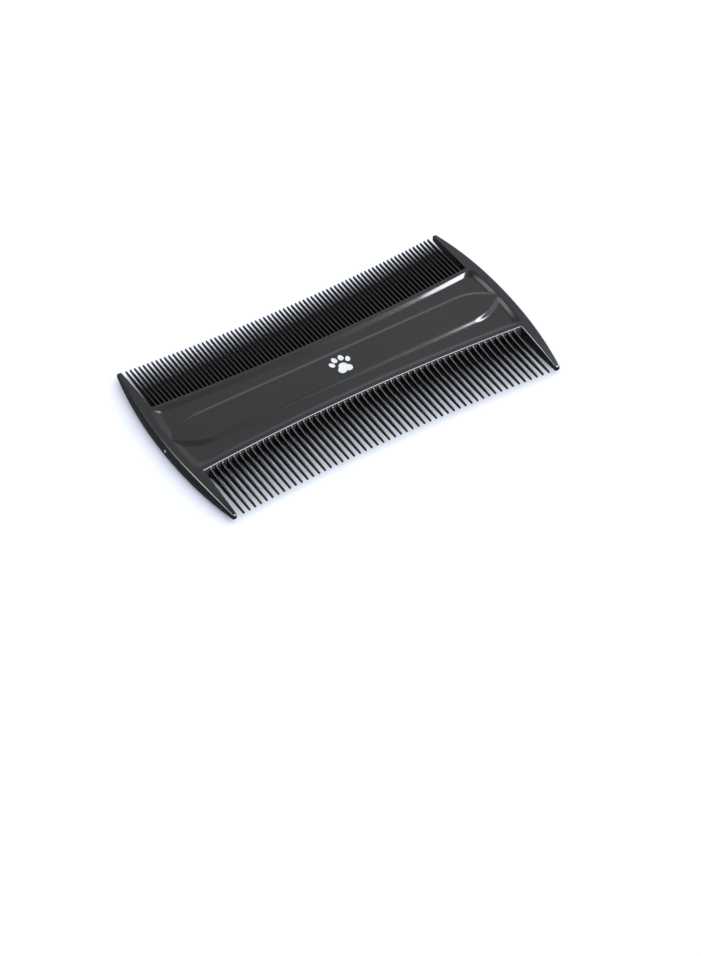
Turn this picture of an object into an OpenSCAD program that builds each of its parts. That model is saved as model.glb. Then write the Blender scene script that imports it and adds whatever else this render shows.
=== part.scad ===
// Double-sided flea comb: one thin black moulding with fine teeth along one
// long edge, coarse teeth along the other and a solid crescent guard at each end.
// Millimetres. The comb lies flat on z = 0 with its centre on the Z axis.
// X runs along its length, the fine teeth point to +Y and the coarse ones to -Y.

/* [Body] */
// Overall length over the crowns of the two end guards
body_l = 89; // [88:0.5:94]
// Overall width over the tips of the end guards
body_w = 50; // [50:0.5:54]
// Full thickness at the spine and at the middle of the guards
body_t = 3.6; // [3.4:0.1:5]
// Thickness left at the very tips of the guards
guard_tip_t = 1.3; // [0.8:0.1:2]
// Half-width over which the top and bottom faces stay flat
flat_half_w = 8.5; // [8:0.1:9]

/* [Spine] */
// Half-width of the spine at the middle of its length
spine_half_w = 9.45; // [9.2:0.05:9.6]
// Radius of the hollow arc that each long edge of the spine follows
spine_edge_r = 476; // [470:1:700]
// Radius that rounds the long edges of the spine
edge_round_r = 0.4; // [0.2:0.05:0.4]
// Width of the flat top of each rail, from the spine's edge inwards
rail_flat_w = 1.05; // [0.8:0.05:1.2]
// Depth of the panel below the rails
panel_depth = 0.37; // [0.2:0.01:0.6]
// Width of the slope from a rail down to the panel
rail_slope_w = 1.2; // [0.6:0.05:1.3]

/* [Raised oval] */
// Width of the flat top of the oval
oval_top_w = 7.1; // [6.4:0.1:7.4]
// Tip-to-tip length of the oval
oval_l = 83.8; // [80:0.1:84]
// Radius of the arcs that close each end of the oval to a point
oval_end_r = 74; // [70:1:80]
// Width of the slope round the oval
oval_slope_w = 1.45; // [0.8:0.05:1.6]

/* [End guards] */
// Width of each guard from its inner face to its crown
guard_w = 3.8; // [3.6:0.1:4]
// Radius of the outer arc of each guard, seen from above
guard_outer_r = 115; // [110:1:120]
// Width of the flat top of each guard outside the panel
guard_ledge_w = 1.6; // [1.4:0.05:1.8]
// Width of the ramp from the guard down to the panel
guard_ramp_w = 1.33; // [1:0.01:1.5]
// How far the rounded outer side stands out past the flat top
guard_bulge = 0.85; // [0.4:0.05:1]
// Diameter of the two spots where the runners were trimmed off
gate_d = 1.1; // [0.6:0.1:1.6]
// Depth of the flat scar on the left guard, and height of the nub on the right one
gate_step = 0.15; // [0.05:0.01:0.3]
// Distance of the right guard's nub from the middle, towards the fine teeth
gate_nub_y = 18.5; // [12:0.5:20]

/* [Teeth] */
// Length of every tooth
tooth_l = 13.8; // [12:0.01:13.9]
// Height of a tooth where it leaves the spine
tooth_root_t = 2.8; // [2:0.1:2.8]
// Height of a tooth at its tip
tooth_tip_t = 0.7; // [0.5:0.05:1]

/* [Fine teeth] */
// Number of fine teeth
fine_count = 77; // [61:2:77]
// Distance from one fine tooth to the next
fine_pitch = 1.038; // [0.95:0.001:1.04]
// Width of a fine tooth at its root
fine_root_w = 0.58; // [0.4:0.01:0.7]
// Width of a fine tooth at its tip
fine_tip_w = 0.3; // [0.2:0.01:0.4]

/* [Coarse teeth] */
// Number of coarse teeth
coarse_count = 53; // [41:2:53]
// Distance from one coarse tooth to the next
coarse_pitch = 1.5; // [1.3:0.01:1.5]
// Width of a coarse tooth at its root
coarse_root_w = 0.86; // [0.6:0.01:1]
// Width of a coarse tooth at its tip
coarse_tip_w = 0.42; // [0.3:0.01:0.6]

/* [Printed mark] */
// Distance of the paw print's centre from the middle of the comb
mark_x = 0.9; // [-20:0.1:20]
// Overall width of the paw print
mark_w = 6; // [4:0.1:6.6]
// Thickness of the ink
ink_t = 0.05; // [0.02:0.01:0.1]

/* [Hidden] */
$fn = 64;
// Facets for arcs of very large radius
wide_fn = 1440;
// How far cutting tools run past the faces that they cut
over = 0.1;

body_black = [0.07, 0.07, 0.075];
teeth_black = [0.11, 0.11, 0.115];
ink_white = [0.93, 0.93, 0.93];

mid_z = body_t / 2;
crown_x = body_l / 2;
tip_y = body_w / 2;
guard_inner_x = crown_x - guard_w;

// Centre of the hollow arc of the spine's +Y edge
edge_centre_y = spine_half_w + spine_edge_r;
// Centre of the right guard's outer arc
guard_centre_x = crown_x - guard_outer_r;
// Radius of the flanks that thin the comb from its flat middle to the guards' tips
flank_drop = (body_t - guard_tip_t) / 2;
flank_r = pow(tip_y - flat_half_w, 2) / (2 * flank_drop);
// Radius of a guard's rounded side, an arc that stands upright at mid thickness
bulge_r = (pow(guard_bulge, 2) + pow(mid_z, 2)) / (2 * guard_bulge);

// Rounded end of a guard: the circle of radius r that touches its inner face,
// its outer arc and the full width, so that
// (tip_a + r)^2 + (tip_y - r)^2 = (guard_outer_r - r)^2
tip_a = guard_inner_x - guard_centre_x;
tip_b = tip_a - tip_y + guard_outer_r;
tip_c = pow(tip_a, 2) + pow(tip_y, 2) - pow(guard_outer_r, 2);
guard_tip_r = sqrt(pow(tip_b, 2) - tip_c) - tip_b;

// Distance from the comb's middle line to the centres of the oval's end arcs
oval_arc_y = sqrt(pow(oval_end_r, 2) - pow(oval_l / 2, 2));

// Distance from the middle line to the spine's edge at a place along the comb
function spine_edge_y(x) = edge_centre_y - sqrt(pow(spine_edge_r, 2) - pow(x, 2));

// A shape for the upper face, and its mirror image for the lower one
module both_faces() {
    children();
    translate([0, 0, body_t])
        mirror([0, 0, 1])
            children();
}

// All heights that the two flank arcs allow on the +Y side
module flank_limit() {
    translate([-body_w, 0])
        square([body_w + flat_half_w, body_t]);
    intersection() {
        translate([flat_half_w, body_t - flank_r])
            circle(r = flank_r, $fn = wide_fn);
        translate([flat_half_w, flank_r])
            circle(r = flank_r, $fn = wide_fn);
    }
}

// Envelope of the thickness: flat in the middle, curving thinner to each side
module thickness_envelope() {
    rotate([90, 0, 90])
        translate([0, 0, -crown_x - over])
            linear_extrude(height = body_l + 2 * over)
                intersection() {
                    flank_limit();
                    mirror([1, 0])
                        flank_limit();
                }
}

// Section of the cut that hollows an edge of the spine and rounds its lips
module edge_hollow_section() {
    reach = edge_round_r + over;
    difference() {
        translate([spine_edge_r - tip_y, -over])
            square([tip_y + edge_round_r, body_t + 2 * over]);
        translate([spine_edge_r, edge_round_r])
            square([reach, body_t - 2 * edge_round_r]);
        for (z = [edge_round_r, body_t - edge_round_r])
            translate([spine_edge_r + edge_round_r, z])
                circle(r = edge_round_r);
    }
}

// The cut that hollows the +Y edge of the spine
module edge_hollow() {
    translate([0, edge_centre_y, 0])
        rotate_extrude($fn = wide_fn)
            edge_hollow_section();
}

// A cone frustum given at the panel and at the upper face, run on a little above it
module slope_cone(panel_r, face_r) {
    run_on = 1 + over / panel_depth;
    translate([0, 0, -panel_depth])
        cylinder(
            r1 = panel_r,
            r2 = panel_r + (face_r - panel_r) * run_on,
            h = panel_depth * run_on,
            $fn = wide_fn
        );
}

// Long pad with sloped sides and pointed ends, its flat top on z = 0
module oval_pad() {
    top_y = oval_top_w / 2;
    foot_y = top_y + oval_slope_w;
    crest_y = top_y - oval_slope_w * over / panel_depth;
    intersection() {
        rotate([90, 0, 90])
            translate([0, 0, -crown_x])
                linear_extrude(height = body_l)
                    polygon([
                        [-foot_y, -panel_depth],
                        [foot_y, -panel_depth],
                        [crest_y, over],
                        [-crest_y, over]
                    ]);
        translate([0, oval_arc_y, 0])
            slope_cone(oval_end_r + oval_slope_w, oval_end_r);
        translate([0, -oval_arc_y, 0])
            slope_cone(oval_end_r + oval_slope_w, oval_end_r);
    }
}

// The shallow recess in the upper face, between the rails and the guards
module face_recess() {
    ramp_r = guard_outer_r - guard_bulge - guard_ledge_w;
    rail_r = spine_edge_r + rail_flat_w;
    translate([0, 0, body_t])
        difference() {
            intersection() {
                translate([guard_centre_x, 0, 0])
                    slope_cone(ramp_r - guard_ramp_w, ramp_r);
                translate([-guard_centre_x, 0, 0])
                    slope_cone(ramp_r - guard_ramp_w, ramp_r);
            }
            for (side = [-1, 1])
                translate([0, side * edge_centre_y, 0])
                    slope_cone(rail_r + rail_slope_w, rail_r);
            oval_pad();
        }
}

// Spine: the web between the two rows of teeth, with its rails and raised oval
module spine() {
    color(body_black)
        difference() {
            intersection() {
                translate([-guard_inner_x, -tip_y, 0])
                    cube([2 * guard_inner_x, body_w, body_t]);
                thickness_envelope();
            }
            edge_hollow();
            mirror([0, 1, 0])
                edge_hollow();
            both_faces()
                face_recess();
        }
}

// Plan of the right guard: a crescent with a straight inner face and rounded ends
module guard_outline() {
    end_y = tip_y - guard_tip_r;
    end_x = guard_inner_x + guard_tip_r;
    // Where the end circle runs over into the outer arc
    touch_angle = asin(end_y / (guard_outer_r - guard_tip_r));
    intersection() {
        translate([guard_centre_x, 0])
            circle(r = guard_outer_r, $fn = wide_fn);
        union() {
            translate([guard_inner_x, -end_y])
                square([guard_w, 2 * end_y]);
            for (side = [-1, 1])
                translate([end_x, side * end_y])
                    polygon([
                        [0, 0],
                        [2 * guard_tip_r, 0],
                        2 * guard_tip_r * [cos(touch_angle), side * sin(touch_angle)]
                    ]);
            for (side = [-1, 1])
                translate([end_x, side * end_y])
                    circle(r = guard_tip_r);
        }
    }
}

// Ring whose outer side bulges: it gives the right guard its rounded edge
module guard_ring() {
    ring_w = 2 * guard_w;
    translate([guard_centre_x, 0, 0])
        rotate_extrude($fn = wide_fn)
            intersection() {
                translate([guard_outer_r - ring_w, 0])
                    square([ring_w, body_t]);
                union() {
                    translate([guard_outer_r - ring_w, 0])
                        square([ring_w - bulge_r, body_t]);
                    translate([guard_outer_r - bulge_r, mid_z])
                        circle(r = bulge_r, $fn = 2 * $fn);
                }
            }
}

// A right-hand guard with nothing yet trimmed off or added
module guard_body() {
    difference() {
        intersection() {
            linear_extrude(height = body_t)
                guard_outline();
            guard_ring();
            thickness_envelope();
        }
        both_faces()
            face_recess();
    }
}

// Left guard, with the flat scar where its runner was trimmed off the crown
module left_guard() {
    color(body_black)
        difference() {
            mirror([1, 0, 0])
                guard_body();
            translate([gate_step - crown_x, 0, mid_z])
                rotate([0, -90, 0])
                    cylinder(d = gate_d, h = 2 * gate_step);
        }
}

// Right guard, with the nub that its runner left towards the fine teeth
module right_guard() {
    nub_angle = asin(gate_nub_y / guard_outer_r);
    color(body_black)
        union() {
            guard_body();
            translate([guard_centre_x, 0, mid_z])
                rotate([0, 90, nub_angle])
                    translate([0, 0, guard_outer_r - gate_d])
                        cylinder(d = gate_d, h = gate_d + gate_step);
        }
}

// Plan of one tooth at a place along the comb, pointing to +Y
module tooth_outline(x, root_w, tip_w) {
    root_y = spine_edge_y(x);
    end_y = root_y + tooth_l - tip_w / 2;
    translate([x, 0])
        polygon([
            [-root_w / 2, root_y - over],
            [root_w / 2, root_y - over],
            [tip_w / 2, end_y],
            [-tip_w / 2, end_y]
        ]);
    translate([x, end_y])
        circle(d = tip_w);
}

// Ring that tapers inwards from the spine's edge: it gives the teeth their height
module tooth_ring() {
    translate([0, edge_centre_y, 0])
        rotate_extrude($fn = wide_fn)
            polygon([
                [spine_edge_r, mid_z - tooth_root_t / 2],
                [spine_edge_r, mid_z + tooth_root_t / 2],
                [spine_edge_r - tooth_l, mid_z + tooth_tip_t / 2],
                [spine_edge_r - tip_y, mid_z + tooth_tip_t / 2],
                [spine_edge_r - tip_y, mid_z - tooth_tip_t / 2],
                [spine_edge_r - tooth_l, mid_z - tooth_tip_t / 2]
            ]);
}

// A row of equal teeth along the +Y edge of the spine, each a separate solid
module tooth_row(count, pitch, root_w, tip_w) {
    intersection() {
        linear_extrude(height = body_t)
            for (i = [0 : count - 1])
                tooth_outline((i - (count - 1) / 2) * pitch, root_w, tip_w);
        tooth_ring();
    }
}

module fine_teeth() {
    color(teeth_black)
        tooth_row(fine_count, fine_pitch, fine_root_w, fine_tip_w);
}

module coarse_teeth() {
    color(teeth_black)
        mirror([0, 1, 0])
            tooth_row(coarse_count, coarse_pitch, coarse_root_w, coarse_tip_w);
}

// Paw print in flat ink on top of the oval: one pad and four toes
module printed_mark() {
    pad_r = mark_w * 0.19;
    lobe_r = mark_w * 0.125;
    toe_r = mark_w * 0.115;
    // Toe centres as angles and distances from the middle of the print
    toe_spread = [-62, -22, 22, 62];
    toe_reach = [0.385, 0.38, 0.38, 0.385] * mark_w;
    color(ink_white)
        translate([mark_x, 0, body_t]) {
            linear_extrude(height = ink_t) {
                translate([0, -pad_r])
                    circle(r = pad_r);
                for (side = [-1, 1])
                    translate([side * lobe_r * 1.2, -pad_r - lobe_r])
                        circle(r = lobe_r);
            }
            for (i = [0 : len(toe_spread) - 1])
                translate(toe_reach[i] * [sin(toe_spread[i]), cos(toe_spread[i]), 0])
                    cylinder(r = toe_r, h = ink_t);
        }
}

spine();
left_guard();
right_guard();
fine_teeth();
coarse_teeth();
printed_mark();
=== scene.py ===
"""Double-sided flea comb in glossy black plastic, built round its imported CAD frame.

Shapes are worked out in millimetres and turned into metres where a mesh is made.
X runs along the comb, the fine teeth point to +Y, and the comb lies on z = 0.
"""
import math

import bpy
import numpy as np
from mathutils import Matrix, Vector


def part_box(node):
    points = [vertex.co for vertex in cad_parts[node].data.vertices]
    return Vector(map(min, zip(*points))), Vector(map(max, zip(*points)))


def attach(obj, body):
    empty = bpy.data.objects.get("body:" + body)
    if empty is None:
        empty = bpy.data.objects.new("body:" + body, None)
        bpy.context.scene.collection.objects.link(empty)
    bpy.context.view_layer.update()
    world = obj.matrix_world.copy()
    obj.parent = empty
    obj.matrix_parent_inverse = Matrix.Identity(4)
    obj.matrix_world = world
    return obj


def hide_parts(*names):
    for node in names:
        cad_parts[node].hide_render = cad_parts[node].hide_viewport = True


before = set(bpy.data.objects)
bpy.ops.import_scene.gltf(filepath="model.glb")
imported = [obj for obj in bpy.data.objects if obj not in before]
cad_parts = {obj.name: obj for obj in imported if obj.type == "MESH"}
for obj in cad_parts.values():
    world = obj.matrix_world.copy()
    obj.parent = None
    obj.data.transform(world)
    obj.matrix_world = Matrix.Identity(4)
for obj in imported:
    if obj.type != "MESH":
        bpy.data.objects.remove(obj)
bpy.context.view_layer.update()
MM = 0.001


def box_mm(node):
    """Lowest and highest corner of a CAD node, in millimetres."""
    return [np.array(corner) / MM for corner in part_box(node)]


# ---------------------------------------------------------------- dimensions
spine_high = box_mm("spine")[1]
left_low = box_mm("left_guard")[0]
mark_low, mark_high = box_mm("printed_mark")

BODY_T = spine_high[2]
MID_Z = BODY_T / 2
INNER_X = spine_high[0]
CROWN_X = -left_low[0]
TIP_Y = -left_low[1]

# Half-width over which the faces are flat, and thickness left at the guards' tips
FLAT_Y = 8.5
GUARD_TIP_T = 1.3
FLANK_R = (TIP_Y - FLAT_Y) ** 2 / (BODY_T - GUARD_TIP_T)

# Spine: hollow edge arcs, rails, and the slope from a rail down to the panel
SPINE_HALF_W = 9.45
EDGE_R = 476
RAIL_FLAT = 1.16
SLOPE_W = 1.14
PANEL_DEPTH = 0.37
CORNER_BLEND = 1.2
# How much the ramps at the panel's ends ease off towards its corners, per square mm
RAMP_EASE = 0.004

# Rounding of the long edges, and the turns of the section's points round it
LIP_R = 0.4
LIP_TURN = np.radians(np.arange(0, 91, 15))

# Raised oval: straight sides closed by two arcs into a point at each end
OVAL_HALF_W = 3.8
OVAL_HALF_L = 42.25
OVAL_END_R = 74.2
OVAL_SLOPE_W = 0.95
OVAL_BLEND = 1.5
OVAL_ARC_Y = math.sqrt(OVAL_END_R**2 - OVAL_HALF_L**2)

# Guards: outer arc, flat ledge outside the panel, rounded side
GUARD_R = 115
GUARD_CENTRE = CROWN_X - GUARD_R
LEDGE_W = 1.8
BULGE = 0.6
BULGE_R = (BULGE**2 + MID_Z**2) / (2 * BULGE)
RIDGE_BLEND = 0.2
RAMP_R = GUARD_R - BULGE - LEDGE_W

# Fillets of the slopes, as half the width over which the slope turns
CREST = 0.22
FOOT = 0.24
# Blend where the oval's slope crosses the ramps
CROSSING_BLEND = 0.02

# Gate marks: a scar with a torn stub in it, and a nub, with their places as Y and Z
GATE_R = 0.5
SCAR_DEPTH = 0.2
SCAR_PLACE = (-0.8, MID_Z + 0.4)
STUB_R = 0.34
NUB_HEIGHT = 0.14
NUB_PLACE = (18.5, MID_Z + 0.3)

# Half-widths of a tooth at mid thickness and at its top, at the root and at the tip.
# thinning below 1 makes its height drop faster near the root.
FINE = {
    "count": 77, "pitch": 1.038, "side": 1, "length": 13.9, "fillet": 0.2,
    "root": (0.29, 0.16), "tip": (0.16, 0.09), "thinning": 1.1,
}
COARSE = {
    "count": 53, "pitch": 1.5, "side": -1, "length": 13.8, "fillet": 0.3,
    "root": (0.43, 0.2), "tip": (0.29, 0.1), "thinning": 0.8,
}
# Half a tooth's height at the root and at the tip, and the length of its round tip
TOOTH_HALF_T = (1.4, 0.35)
TOOTH_TIP_L = 0.4
# How far a tooth runs into the spine
TOOTH_BURIED = 0.12

# How far the ink reaches down into the face under it
INK_SUNK = 0.02


# ------------------------------------------------------------ surface of body
def smooth_min(a, b, k):
    """The lower of two heights, blended where they are within k of each other."""
    return np.minimum(a, b) - np.maximum(k - np.abs(a - b), 0) ** 2 / (4 * k)


def rise(t, blend):
    """Zero below 0, then t, with a rounded start of half-width blend."""
    return np.where(t < -blend, 0, np.where(t > blend, t, (t + blend) ** 2 / (4 * blend)))


def slope(distance, width):
    """Depth below the face at a distance past the top edge of a slope."""
    return PANEL_DEPTH / width * (rise(distance, CREST) - rise(distance - width, FOOT))


def spine_edge(x):
    """Half-width of the spine at a place along the comb."""
    return SPINE_HALF_W + EDGE_R - np.sqrt(EDGE_R**2 - np.asarray(x, float) ** 2)


def half_thickness(y):
    """Half the comb's thickness, which its flanks bring down towards the tips."""
    past = np.maximum(np.abs(y) - FLAT_Y, 0)
    return MID_Z - FLANK_R + np.sqrt(FLANK_R**2 - past**2)


def recess(x, y):
    """Depth of the panel below the face, with the raised oval standing in it."""
    x, y = np.abs(x), np.abs(y)
    past_rail = spine_edge(x) - RAIL_FLAT - y
    past_ledge = (RAMP_R - np.hypot(x - GUARD_CENTRE, y)) * (1 - RAMP_EASE * y**2)
    panel = slope(smooth_min(past_rail, past_ledge, CORNER_BLEND), SLOPE_W)
    past_side = y - OVAL_HALF_W
    past_arc = np.hypot(x, y + OVAL_ARC_Y) - OVAL_END_R
    past_oval = -smooth_min(-past_side, -past_arc, OVAL_BLEND)
    return smooth_min(panel, slope(past_oval, OVAL_SLOPE_W), CROSSING_BLEND)


def lip_drop(distance, radius):
    """How far a rounded edge has dropped at a distance in from the wall."""
    short = np.clip(radius - distance, 0, radius)
    return radius - np.sqrt(radius**2 - short**2)


def spine_top(x, y):
    """Height of the spine's upper face."""
    drop = lip_drop(spine_edge(x) - np.abs(y), LIP_R)
    return MID_Z + half_thickness(y) - recess(x, y) - drop


# -------------------------------------------------------------------- meshes
def turned_down(points):
    """An upper sheet with a ghost column past each side, where it stands upright."""
    first = points[..., 1:2, :].copy()
    first[..., 2] = 2 * points[..., :1, 2] - first[..., 2]
    last = points[..., -2:-1, :].copy()
    last[..., 2] = 2 * points[..., -1:, 2] - last[..., 2]
    return np.concatenate([first, points, last], -2)


def run_on(points):
    """An upper sheet with a ghost station straight on from each end."""
    first = 2 * points[..., :1, :, :] - points[..., 1:2, :, :]
    last = 2 * points[..., -1:, :, :] - points[..., -2:-1, :, :]
    return np.concatenate([first, points, last], -3)


def sheet_normals(points):
    """Upward normals inside a sheet (..., stations, columns, 3) that has ghosts all round."""
    along = points[..., 2:, 1:-1, :] - points[..., :-2, 1:-1, :]
    across = points[..., 1:-1, 2:, :] - points[..., 1:-1, :-2, :]
    normals = np.cross(along, across)
    length = np.linalg.norm(normals, axis=-1, keepdims=True)
    normals = normals / np.maximum(length, 1e-12)
    return normals * np.sign(normals[..., 2].sum())


def faces_inward(sheet):
    """True where a sheet's stations and columns would turn its faces to the inside."""
    station, column = sheet.shape[0] // 2, sheet.shape[1] // 2
    corner = sheet[station, column - 1]
    along = sheet[station + 1, column - 1] - corner
    across = sheet[station, column] - corner
    return np.cross(along, across)[2] < 0


def solid_from_sheet(sheet, normals, joined):
    """Points, normals and faces of the solid between an upper sheet and its mirror image.

    joined says for the first and the last column whether the sheet ends there at
    mid thickness, so that both halves share its points.
    """
    stations, columns, _ = sheet.shape
    own = slice(int(joined[0]), columns - int(joined[1]))
    flip = np.array([1, 1, -1])
    low_sheet = sheet[:, own] * flip + np.array([0, 0, BODY_T])
    top = np.arange(stations * columns).reshape(stations, columns)
    low = top.copy()
    low[:, own] = top.size + np.arange(low_sheet.size // 3).reshape(low_sheet.shape[:2])
    ring = np.concatenate([top, low[:, own][:, ::-1]], 1)
    after = np.roll(ring, -1, 1)
    faces = np.stack([ring[:-1], ring[1:], after[1:], after[:-1]], -1).reshape(-1, 4).tolist()
    for end, turn in ((0, 1), (-1, -1)):
        caps = np.stack([top[end, :-1], top[end, 1:], low[end, 1:], low[end, :-1]], -1)
        faces += [list(dict.fromkeys(cap))[::turn] for cap in caps.tolist()]
    if faces_inward(sheet):
        faces = [face[::-1] for face in faces]
    points = np.concatenate([sheet.reshape(-1, 3), low_sheet.reshape(-1, 3)])
    normals = np.concatenate([normals.reshape(-1, 3), (normals[:, own] * flip).reshape(-1, 3)])
    return points, normals, faces


def add_piece(name, solids, node, material):
    """One mesh piece from solids in millimetres, riding on the comb's one body."""
    points = np.concatenate([solid[0] for solid in solids])
    normals = np.concatenate([solid[1] for solid in solids])
    faces = []
    start = 0
    for solid in solids:
        faces += [[index + start for index in face] for face in solid[2]]
        start += len(solid[0])
    mesh = bpy.data.meshes.new(name)
    mesh.from_pydata((points * MM).tolist(), [], faces)
    mesh.update()
    mesh.shade_smooth()
    mesh.normals_split_custom_set_from_vertices(normals.tolist())
    mesh.materials.append(material)
    piece = bpy.data.objects.new(name, mesh)
    bpy.context.scene.collection.objects.link(piece)
    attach(piece, "root")
    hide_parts(node)


def mirrored(solid):
    """The same solid on the other side of X = 0."""
    points, normals, faces = solid
    flip = np.array([-1, 1, 1])
    return points * flip, normals * flip, [face[::-1] for face in faces]


# --------------------------------------------------------------------- spine
def half_section(x):
    """Places of the spine's section points from the +Y wall to the middle, per station.

    They stand close together across the slopes and for a short way past them.
    """
    wall = spine_edge(x)[:, None]
    rail_foot = RAIL_FLAT + SLOPE_W + 0.45
    oval_foot = OVAL_HALF_W + OVAL_SLOPE_W + 0.7
    oval_top = OVAL_HALF_W - 1
    lip = wall - LIP_R * (1 - np.cos(LIP_TURN))
    rail = wall - np.linspace(LIP_R, rail_foot, 24)[1:]
    panel = wall - rail_foot + (oval_foot - wall + rail_foot) * np.linspace(0, 1, 14)[1:]
    oval = np.linspace(oval_foot, oval_top, 33)[1:] + 0 * wall
    middle = np.linspace(oval_top, 0, 11)[1:] + 0 * wall
    return np.concatenate([lip, rail, panel, oval, middle], 1)


def spine_stations():
    """Places along the spine, close together near its ends, with a ghost past each end."""
    step = 0.14
    end_steps = 60
    ends = INNER_X - step * np.arange(end_steps)
    middle = np.linspace(INNER_X - step * end_steps, 0, 34)
    half = np.concatenate([ends, middle])
    return np.concatenate([[-INNER_X - step], -half[:-1], half[::-1], [INNER_X + step]])


def spine_solid():
    """The spine, with its rails, panels and raised ovals on both faces."""
    x = spine_stations()
    side = half_section(x)
    y = np.concatenate([side, -side[:, -2::-1]], 1)
    x = x[:, None] + 0 * y
    points = np.stack([x, y, spine_top(x, y)], -1)
    return solid_from_sheet(points[1:-1], sheet_normals(turned_down(points)), (False, False))


# -------------------------------------------------------------------- guards
def guard_tip_circle():
    """Radius of the circle that rounds a guard's tip, and Y of its centre."""
    inner = INNER_X - GUARD_CENTRE
    reach = inner - TIP_Y + GUARD_R
    radius = math.sqrt(reach**2 - inner**2 - TIP_Y**2 + GUARD_R**2) - reach
    return radius, TIP_Y - radius


def guard_stations(spot_y, end_r, end_y):
    """Places along a guard: the spine's own section points, its flanks, noses and gate mark."""
    shared = half_section(np.array([INNER_X]))[0]
    flank = np.linspace(shared[0], end_y, 40)[1:]
    nose = end_y + end_r * np.sin(np.radians([12, 24, 36, 48, 58, 66, 73, 79, 84]))
    half = np.concatenate([shared, flank, nose])
    spot = spot_y + np.arange(-0.8, 0.81, 0.08)
    stations = np.unique(np.round(np.concatenate([half, -half, spot]), 6))
    apart = np.diff(stations, append=np.inf) > 1e-4
    return stations[apart]


def guard_columns(inner, outer, lip, size):
    """X of a guard's section points, from its inner wall over the top to mid thickness."""
    ridge_turn = math.degrees(math.asin(MID_Z / BULGE_R))
    low_turn = 17
    upper = np.linspace(ridge_turn, low_turn, 8)
    lower = np.linspace(low_turn, 0, 12)[1:]
    side_turn = np.radians(np.concatenate([upper, lower]))
    ridge = BULGE + np.array([0.45, 0.36, 0.3, 0.24, 0.19, 0.14, 0.09, 0.045])
    rounding = inner + lip * (1 - np.cos(LIP_TURN))
    side = outer - size * np.concatenate([ridge, BULGE_R * (1 - np.cos(side_turn))])
    face = rounding[:, -1:] + (side[:, :1] - rounding[:, -1:]) * np.linspace(0, 1, 27)[1:-1]
    return np.concatenate([rounding, face, side], 1)


def guard_height(x, outer, half_t):
    """Height of a guard's section above mid thickness, with its rounded outer side."""
    inset = np.clip((outer - x) / (half_t / MID_Z), 0, BULGE_R)
    round_side = np.sqrt(BULGE_R**2 - (BULGE_R - inset) ** 2) / MID_Z
    height = half_t * smooth_min(round_side, 1, RIDGE_BLEND)
    height[:, -1] = 0
    return height


def gate_mark(x, y, z, outer, nub):
    """X of a guard's points with its gate mark: a nub, or else a scar with a stub in it."""
    centre_y, centre_z = NUB_PLACE if nub else SCAR_PLACE
    away = np.hypot(y - centre_y, z - centre_z)
    # The mark is whole inside 0.85 of its radius and has faded out at 1.15
    weight = np.clip((1.15 - away / GATE_R) / 0.3, 0, 1)
    weight = weight**2 * (3 - 2 * weight)
    stub = SCAR_DEPTH * np.clip(1 - (away / STUB_R) ** 2, 0, 1)
    moved = x + NUB_HEIGHT if nub else np.minimum(x, outer - SCAR_DEPTH + stub)
    return x + weight * (moved - x)


def guard_normals(points, beside_spine):
    """Normals of a guard's sheet, whose face runs on into the spine where it is beside it."""
    ghosts = turned_down(points)
    y = points[:, 0, 1]
    on_spine = 2 * INNER_X - points[:, 1, 0]
    ghosts[:, 0, 0] = np.where(beside_spine, on_spine, ghosts[:, 0, 0])
    ghosts[:, 0, 2] = np.where(beside_spine, spine_top(on_spine, y), ghosts[:, 0, 2])
    return sheet_normals(run_on(ghosts))


def guard_solid(nub):
    """The right guard, with a nub or a scar on its outer side where the gate was."""
    end_r, end_y = guard_tip_circle()
    touch_y = end_y * GUARD_R / (GUARD_R - end_r)
    corner_y = float(spine_edge(INNER_X))
    y = guard_stations((NUB_PLACE if nub else SCAR_PLACE)[0], end_r, end_y)
    past_end = np.clip((np.abs(y) - end_y) / end_r, 0, 1)
    circle = end_r * np.sqrt(1 - past_end**2)
    arc = GUARD_CENTRE + np.sqrt(GUARD_R**2 - y**2)
    outer = np.where(np.abs(y) < touch_y, arc, INNER_X + end_r + circle)[:, None]
    inner = (INNER_X + end_r - circle)[:, None]
    # The power rounds the nose as seen from the side
    half_t = (half_thickness(y) * (1 - past_end**2) ** 0.4)[:, None]
    lip = LIP_R * np.minimum(1, half_t / half_thickness(corner_y))

    x = guard_columns(inner, outer, lip, half_t / MID_Z)
    y = y[:, None] + 0 * x
    beside_spine = np.abs(y) < corner_y
    to_corner = np.hypot(x - INNER_X, corner_y - np.abs(y))
    to_wall = np.where(beside_spine, to_corner, x - inner)
    z = MID_Z + guard_height(x, outer, half_t) - recess(x, y) - lip_drop(to_wall, lip)

    points = np.stack([gate_mark(x, y, z, outer, nub), y, z], -1)
    return solid_from_sheet(points, guard_normals(points, beside_spine[:, 0]), (False, True))


# --------------------------------------------------------------------- teeth
def tooth_stations(length):
    """Places along a tooth, close together at its root fillet and round tip."""
    root = [-TOOTH_BURIED, 0, 0.03, 0.07, 0.12, 0.2, 0.32]
    shaft = np.linspace(0.8, length - TOOTH_TIP_L - 0.3, 9)
    turn = np.radians([0, 20, 40, 58, 72, 82, 88])
    return np.concatenate([root, shaft, length - TOOTH_TIP_L + TOOTH_TIP_L * np.sin(turn)])


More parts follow.
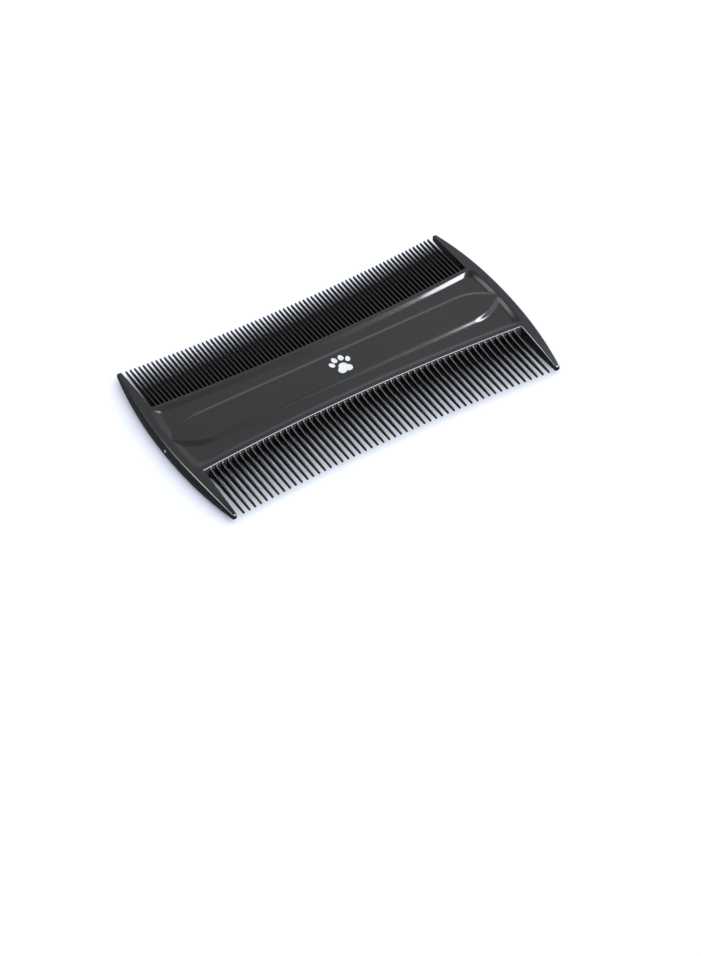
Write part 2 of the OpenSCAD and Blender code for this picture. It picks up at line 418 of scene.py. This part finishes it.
def tooth_sheet(row):
    """Upper half of one tooth of a row, starting at its root and pointing to +Y."""
    length, fillet = row["length"], row["fillet"]
    s = tooth_stations(length)
    t = np.clip(s / length, 0, 1)
    near = np.clip(1 - s / fillet, 0, 1)
    flare = fillet * (1 - np.sqrt(1 - near**2))
    past = np.clip((s - length + TOOTH_TIP_L) / TOOTH_TIP_L, 0, 1)
    closing = np.sqrt(1 - past**2)

    def taper(root_value, tip_value, bend=1.0):
        return root_value + (tip_value - root_value) * t**bend

    half_w = (taper(row["root"][0], row["tip"][0]) + flare) * closing
    half_top = (taper(row["root"][1], row["tip"][1]) + flare) * closing
    half_t = (taper(*TOOTH_HALF_T, row["thinning"]) + 0.4 * flare) * closing
    # A corner of the top is cut twice, which rounds it
    corner = 0.4 * half_top
    soft = 0.29 * corner
    across = [half_w, half_top, half_top - soft, half_top - corner]
    height = [0 * s, half_t - corner, half_t - soft, half_t]
    sheet = np.zeros((len(s), 2 * len(across), 3))
    sheet[..., 0] = np.stack(across + [-w for w in across[::-1]], 1)
    sheet[..., 1] = s[:, None]
    sheet[..., 2] = np.stack(height + height[::-1], 1) + MID_Z
    return sheet


def tooth_solids(row):
    """All teeth of one row: slim wedges with filleted roots and round tips."""
    sheet = tooth_sheet(row)
    normals = sheet_normals(run_on(turned_down(sheet)))
    points, normals, faces = solid_from_sheet(sheet, normals, (True, True))
    flip = np.array([1, row["side"], 1])
    if row["side"] < 0:
        faces = [face[::-1] for face in faces]
    place = (np.arange(row["count"]) - (row["count"] - 1) / 2) * row["pitch"]
    starts = np.stack([place, spine_edge(place), 0 * place], 1)
    return [((points + start) * flip, normals * flip, faces) for start in starts]


# -------------------------------------------------------------- printed mark
def pad_outline(turn):
    """Outline of the paw's main pad: the smooth union of three round lobes."""
    way = np.stack([np.cos(turn), np.sin(turn)], -1)
    reach = []
    for x, y, radius in ((0, 0.45, 1.15), (-0.85, -0.5, 1.02), (0.85, -0.5, 1.02)):
        along = way @ np.array([x, y])
        reach.append(along + np.sqrt(np.maximum(radius**2 - x**2 - y**2 + along**2, 0)))
    sharpness = 7
    radius = np.log(sum(np.exp(sharpness * value) for value in reach)) / sharpness
    scale = 0.93
    below_centre = np.array([0, -1.02])
    return way * radius[:, None] * scale + below_centre


def toe_outline(turn, x, y, width, length, tilt):
    """Outline of one toe: an egg shape, leaning outwards."""
    across = np.cos(turn) * width / 2 * (1 - 0.12 * np.sin(turn))
    along = np.sin(turn) * length / 2
    lean = math.radians(tilt)
    outline_x = x + across * math.cos(lean) + along * math.sin(lean)
    outline_y = y - across * math.sin(lean) + along * math.cos(lean)
    return np.stack([outline_x, outline_y], -1)


def inward_ways(outline):
    """Unit vectors that point from each place on an outline to its inside."""
    inward = -np.roll(outline, -1, 0) + np.roll(outline, 1, 0)
    inward = np.stack([inward[:, 1], -inward[:, 0]], -1)
    inward /= np.linalg.norm(inward, axis=1, keepdims=True)
    if ((outline - outline.mean(0)) * inward).sum() > 0:
        inward = -inward
    return inward


def ink_solid(outline, centre):
    """A thin patch of ink with a rounded rim, standing on the oval."""
    ink_low = BODY_T - INK_SUNK
    ink_high = mark_high[2]
    rim = 0.6 * (ink_high - BODY_T)
    inward = inward_ways(outline)
    rings, normals = [], []
    # The first ring is the foot of the wall, and the others turn over the rim
    for turn in (None, 0, 30, 60, 90):
        angle = math.radians(turn or 0)
        flat = outline + inward * rim * (1 - math.cos(angle))
        z = ink_low if turn is None else ink_high - rim + rim * math.sin(angle)
        rings.append(np.column_stack([flat + centre, np.full(len(flat), z)]))
        lift = np.full(len(flat), math.sin(angle))
        normals.append(np.column_stack([-inward * math.cos(angle), lift]))
    count = len(outline)
    index = np.arange(count)
    after = np.roll(index, -1)
    faces = []
    for ring in range(len(rings) - 1):
        low, high = ring * count, (ring + 1) * count
        faces += np.stack([low + index, low + after, high + after, high + index], -1).tolist()
    faces.append(list(range((len(rings) - 1) * count, len(rings) * count)))
    faces.append(list(range(count - 1, -1, -1)))
    return np.concatenate(rings), np.concatenate(normals), faces


def paw_solids():
    """The paw print: one pad and four toes pointing to the fine teeth."""
    turn = np.linspace(0, 2 * math.pi, 73)[:-1]
    centre = np.array([(mark_low[0] + mark_high[0]) / 2, 0])
    # X, Y, width, length and tilt of an inner and an outer toe
    toes = [(0.83, 1.93, 1.22, 1.68, 8), (2.03, 0.9, 1.12, 1.56, 24)]
    outlines = [pad_outline(turn)]
    for x, y, width, length, tilt in toes:
        for side in (-1, 1):
            outlines.append(toe_outline(turn, side * x, y, width, length, side * tilt))
    return [ink_solid(outline, centre) for outline in outlines]


# ---------------------------------------------------------------- node helpers
def add_node(tree, kind, inputs=(), **settings):
    """A node with its settings, and its input sockets set or linked by name."""
    node = tree.nodes.new(kind)
    for key, value in settings.items():
        setattr(node, key, value)
    for key, value in dict(inputs).items():
        if isinstance(value, bpy.types.NodeSocket):
            tree.links.new(value, node.inputs[key])
        else:
            node.inputs[key].default_value = value
    return node


def maths(tree, operation, *values):
    """The result of a maths node on sockets or numbers."""
    node = add_node(tree, "ShaderNodeMath", dict(enumerate(values)), operation=operation)
    return node.outputs[0]


def fade(tree, value, low, high):
    """A smooth step from 0 at low to 1 at high, or the reverse where low is the larger."""
    inputs = {"Value": value, "From Min": low, "From Max": high}
    node = add_node(tree, "ShaderNodeMapRange", inputs, interpolation_type="SMOOTHSTEP")
    return node.outputs["Result"]


def split(tree, vector):
    """The X, Y and Z sockets of a vector."""
    return add_node(tree, "ShaderNodeSeparateXYZ", {"Vector": vector}).outputs


def noise(tree, place, scale, detail=2.0, roughness=0.5):
    """Height of a 3-D noise, with the size of its features given as a scale."""
    inputs = {"Vector": place, "Scale": scale, "Detail": detail, "Roughness": roughness}
    return add_node(tree, "ShaderNodeTexNoise", inputs).outputs["Fac"]


def spread(tree, value, low, high):
    """A noise height turned into a value between low and high."""
    inputs = {"Value": value, "From Min": 0.3, "From Max": 0.7, "To Min": low, "To Max": high}
    return add_node(tree, "ShaderNodeMapRange", inputs).outputs["Result"]


def colour_mix(tree, amount, first, second):
    """The first colour, mixed towards the second by an amount; each a socket or RGB."""
    inputs = {"Fac": amount}
    for key, colour in (("Color1", first), ("Color2", second)):
        inputs[key] = colour if isinstance(colour, bpy.types.NodeSocket) else (*colour, 1)
    return add_node(tree, "ShaderNodeMixRGB", inputs).outputs["Color"]


def noise_tint(tree, value, dark, light):
    """A colour that runs from dark to light with a noise height."""
    ramp = add_node(tree, "ShaderNodeValToRGB", {"Fac": value})
    first, second = ramp.color_ramp.elements
    first.position = 0.3
    second.position = 0.7
    first.color = (*dark, 1)
    second.color = (*light, 1)
    return ramp.outputs["Color"]


def bump(tree, height, strength, distance, under=None):
    """A normal roughened by a height, on top of another normal if one is given."""
    inputs = {"Height": height, "Strength": strength, "Distance": distance}
    if under is not None:
        inputs["Normal"] = under
    return add_node(tree, "ShaderNodeBump", inputs).outputs["Normal"]


def new_material(name):
    """A material with its node tree, its shader and its object coordinates."""
    material = bpy.data.materials.new(name)
    material.use_nodes = True
    tree = material.node_tree
    shader = tree.nodes["Principled BSDF"]
    place = add_node(tree, "ShaderNodeTexCoord").outputs["Object"]
    return material, tree, shader, place


# ------------------------------------------------------------------ materials
def stub_glint_mask(tree, place):
    """1 on the stub left in the gate scar, where a lighter grey is painted as its highlight,
    else 0.
    """
    centre = (-CROWN_X * MM, SCAR_PLACE[0] * MM, SCAR_PLACE[1] * MM)
    away = add_node(tree, "ShaderNodeVectorMath", {0: place, 1: centre}, operation="DISTANCE")
    return fade(tree, away.outputs["Value"], GATE_R * MM, 0.6 * GATE_R * MM)


def wall_reflection_mask(tree, place):
    """1 on the spine's walls between the teeth, which are painted a lighter grey for the floor
    they reflect and made rougher, else 0.
    """
    facing = add_node(tree, "ShaderNodeTexCoord").outputs["Normal"]
    upright = fade(tree, maths(tree, "ABSOLUTE", split(tree, facing)["Y"]), 0.9, 0.97)
    off_middle = maths(tree, "ABSOLUTE", split(tree, place)["Y"])
    near_spine = fade(tree, off_middle, 11.6 * MM, 11.3 * MM)
    return maths(tree, "MULTIPLY", upright, near_spine)


def plastic_material():
    """Glossy black moulded plastic, a little uneven and dull in places, with a painted highlight
    on the gate stub and a painted reflection on the spine's walls between the teeth.
    """
    material, tree, shader, place = new_material("comb_plastic")
    # Features about 17 mm, 2.4 mm and 0.2 mm across
    cloud = noise(tree, place, 60)
    haze = noise(tree, place, 420, 4.0)
    grain = noise(tree, place, 5200, 3.0, 0.6)
    stub_glint = stub_glint_mask(tree, place)
    wall_reflection = wall_reflection_mask(tree, place)
    black = noise_tint(tree, cloud, (0.0045, 0.0047, 0.005), (0.0068, 0.007, 0.0073))
    # Painted highlight: the stub in the gate scar is painted a lighter grey that stands in for
    # its glint
    with_stub_glint = colour_mix(tree, stub_glint, black, (0.4, 0.41, 0.44))
    # Painted reflection: the spine's walls between the teeth are painted a lighter grey that
    # stands in for the floor they mirror
    with_painted_light = colour_mix(tree, wall_reflection, with_stub_glint, (0.06, 0.06, 0.068))
    tree.links.new(with_painted_light, shader.inputs["Base Color"])
    gloss = spread(tree, haze, 0.045, 0.07)
    dulled = maths(tree, "MULTIPLY_ADD", maths(tree, "ADD", stub_glint, wall_reflection), 0.4, gloss)
    tree.links.new(dulled, shader.inputs["Roughness"])
    shader.inputs["IOR"].default_value = 1.5
    wave = bump(tree, cloud, 1.0, 2.2e-5)
    tree.links.new(bump(tree, grain, 0.6, 1e-7, wave), shader.inputs["Normal"])
    return material


def ink_material():
    """Matte white printing ink, faintly mottled and grainy."""
    material, tree, shader, place = new_material("ink")
    # Features about 1 mm and 0.1 mm across
    mottle = noise(tree, place, 900, 3.0)
    grain = noise(tree, place, 9000, 2.0)
    white = noise_tint(tree, mottle, (0.6, 0.605, 0.62), (0.685, 0.69, 0.7))
    tree.links.new(white, shader.inputs["Base Color"])
    tree.links.new(spread(tree, mottle, 0.5, 0.62), shader.inputs["Roughness"])
    shader.inputs["IOR"].default_value = 1.46
    tree.links.new(bump(tree, grain, 0.5, 2e-6), shader.inputs["Normal"])
    return material


def floor_material():
    """Plain white sweep with a faint paper mottle, painted dark grey for glossy rays so that the
    gloss mirrors it only dimly, as painted shade.
    """
    material, tree, shader, place = new_material("floor_paper")
    paper = noise_tint(tree, noise(tree, place, 30), (0.865, 0.885, 0.97), (0.885, 0.905, 0.99))
    # Painted shade: glossy rays see the floor as dark grey instead of its paper white
    mirrored_ray = add_node(tree, "ShaderNodeLightPath").outputs["Is Glossy Ray"]
    seen = colour_mix(tree, mirrored_ray, paper, (0.15, 0.155, 0.17))
    tree.links.new(seen, shader.inputs["Base Color"])
    shader.inputs["Roughness"].default_value = 0.9
    shader.inputs["Specular IOR Level"].default_value = 0.1
    return material


# --------------------------------------------------------------------- studio
def add_floor():
    """A plain pale floor under the comb."""
    half = 1.5
    corners = [(-half, -half, 0), (half, -half, 0), (half, half, 0), (-half, half, 0)]
    mesh = bpy.data.meshes.new("floor")
    mesh.from_pydata(corners, [], [(0, 1, 2, 3)])
    mesh.materials.append(floor_material())
    floor = bpy.data.objects.new("floor", mesh)
    bpy.context.scene.collection.objects.link(floor)


def patch(tree, across, along, sides, ends):
    """A soft-edged patch of sky, from two fades across it and two along it."""
    mask = maths(tree, "MULTIPLY", fade(tree, across, *sides[0]), fade(tree, across, *sides[1]))
    mask = maths(tree, "MULTIPLY", mask, fade(tree, along, *ends[0]))
    return maths(tree, "MULTIPLY", mask, fade(tree, along, *ends[1]))


def softboxes(tree, x, y):
    """Strength of the sky that the gloss mirrors, with softboxes and a darker gap in it."""
    slant = maths(tree, "MULTIPLY_ADD", maths(tree, "MINIMUM", y, 0.1), -0.17, x)
    over = patch(tree, slant, y, ((0.414, 0.423), (0.52, 0.46)), ((-0.12, -0.08), (0.36, 0.24)))
    front = patch(tree, x, y, ((0.28, 0.33), (0.47, 0.43)), ((-0.7, -0.6), (-0.1, -0.16)))
    side = patch(tree, x, y, ((-0.66, -0.56), (-0.14, -0.24)), ((0.05, 0.15), (0.64, 0.46)))
    near_side = patch(tree, x, y, ((-0.24, -0.14), (0.08, -0.04)), ((0.3, 0.4), (0.78, 0.66)))
    glow = patch(tree, slant, y, ((0.34, 0.415), (0.8, 0.65)), ((-0.3, -0.14), (0.52, 0.3)))
    gap = patch(tree, x, y, ((-0.2, 0.0), (0.39, 0.35)), ((0.27, 0.34), (0.46, 0.38)))
    total = maths(tree, "MULTIPLY_ADD", fade(tree, x, 0.2, 0.42), 0.4, 0.58)
    for mask, strength in (
        (gap, -0.25), (glow, 1.1), (near_side, 2.9), (side, 20.0), (front, 20.0), (over, 23.0)
    ):
        total = maths(tree, "MULTIPLY_ADD", mask, strength, total)
    return total


def add_studio_light():
    """White surroundings, stronger from the front right; the gloss mirrors softboxes instead."""
    world = bpy.data.worlds.new("studio")
    bpy.context.scene.world = world
    world.use_nodes = True
    tree = world.node_tree
    way = add_node(tree, "ShaderNodeTexCoord").outputs["Generated"]
    x, y, _ = split(tree, way)
    from_front_right = maths(tree, "MULTIPLY_ADD", y, -1.5, x)
    even = maths(tree, "MULTIPLY_ADD", from_front_right, 0.47, 1.37)
    extra = maths(tree, "SUBTRACT", softboxes(tree, x, y), even)
    mirrored_ray = add_node(tree, "ShaderNodeLightPath").outputs["Is Glossy Ray"]
    strength = maths(tree, "MULTIPLY_ADD", extra, mirrored_ray, even)
    background = tree.nodes["Background"]
    background.inputs["Color"].default_value = (0.94, 0.96, 1.0, 1)
    tree.links.new(strength, background.inputs["Strength"])
    bpy.context.scene.view_settings.view_transform = "Standard"


def add_camera():
    """The camera at the viewing angle of the product shot."""
    azimuth, elevation = math.radians(32.21), math.radians(47.28)
    # Where the comb's origin lies as seen from the camera, in millimetres
    distance, across, above = 746.5, -2.635, 22.044
    level = math.cos(elevation)
    ahead = Vector((math.sin(azimuth) * level, math.cos(azimuth) * level, -math.sin(elevation)))
    right = Vector((math.cos(azimuth), -math.sin(azimuth), 0))
    up = right.cross(ahead)
    data = bpy.data.cameras.new("camera")
    data.sensor_width = 36
    data.lens = 128.03
    data.clip_start = 0.01
    data.clip_end = 10
    camera = bpy.data.objects.new("camera", data)
    turn = Matrix((right, up, -ahead)).transposed().to_4x4()
    place = -(right * across + up * above + ahead * distance) * MM
    camera.matrix_world = Matrix.Translation(place) @ turn
    bpy.context.scene.collection.objects.link(camera)
    bpy.context.scene.camera = camera


# ---------------------------------------------------------------------- build
def build():
    """Make every piece, the camera, the floor and the lights."""
    add_camera()
    plastic = plastic_material()
    ink = ink_material()
    scarred = mirrored(guard_solid(False))
    nubbed = guard_solid(True)
    add_piece("spine_body", [spine_solid()], "spine", plastic)
    add_piece("left_guard_body", [scarred], "left_guard", plastic)
    add_piece("right_guard_body", [nubbed], "right_guard", plastic)
    add_piece("fine_tooth_row", tooth_solids(FINE), "fine_teeth", plastic)
    add_piece("coarse_tooth_row", tooth_solids(COARSE), "coarse_teeth", plastic)
    add_piece("paw_print", paw_solids(), "printed_mark", ink)
    add_floor()
    add_studio_light()


build()
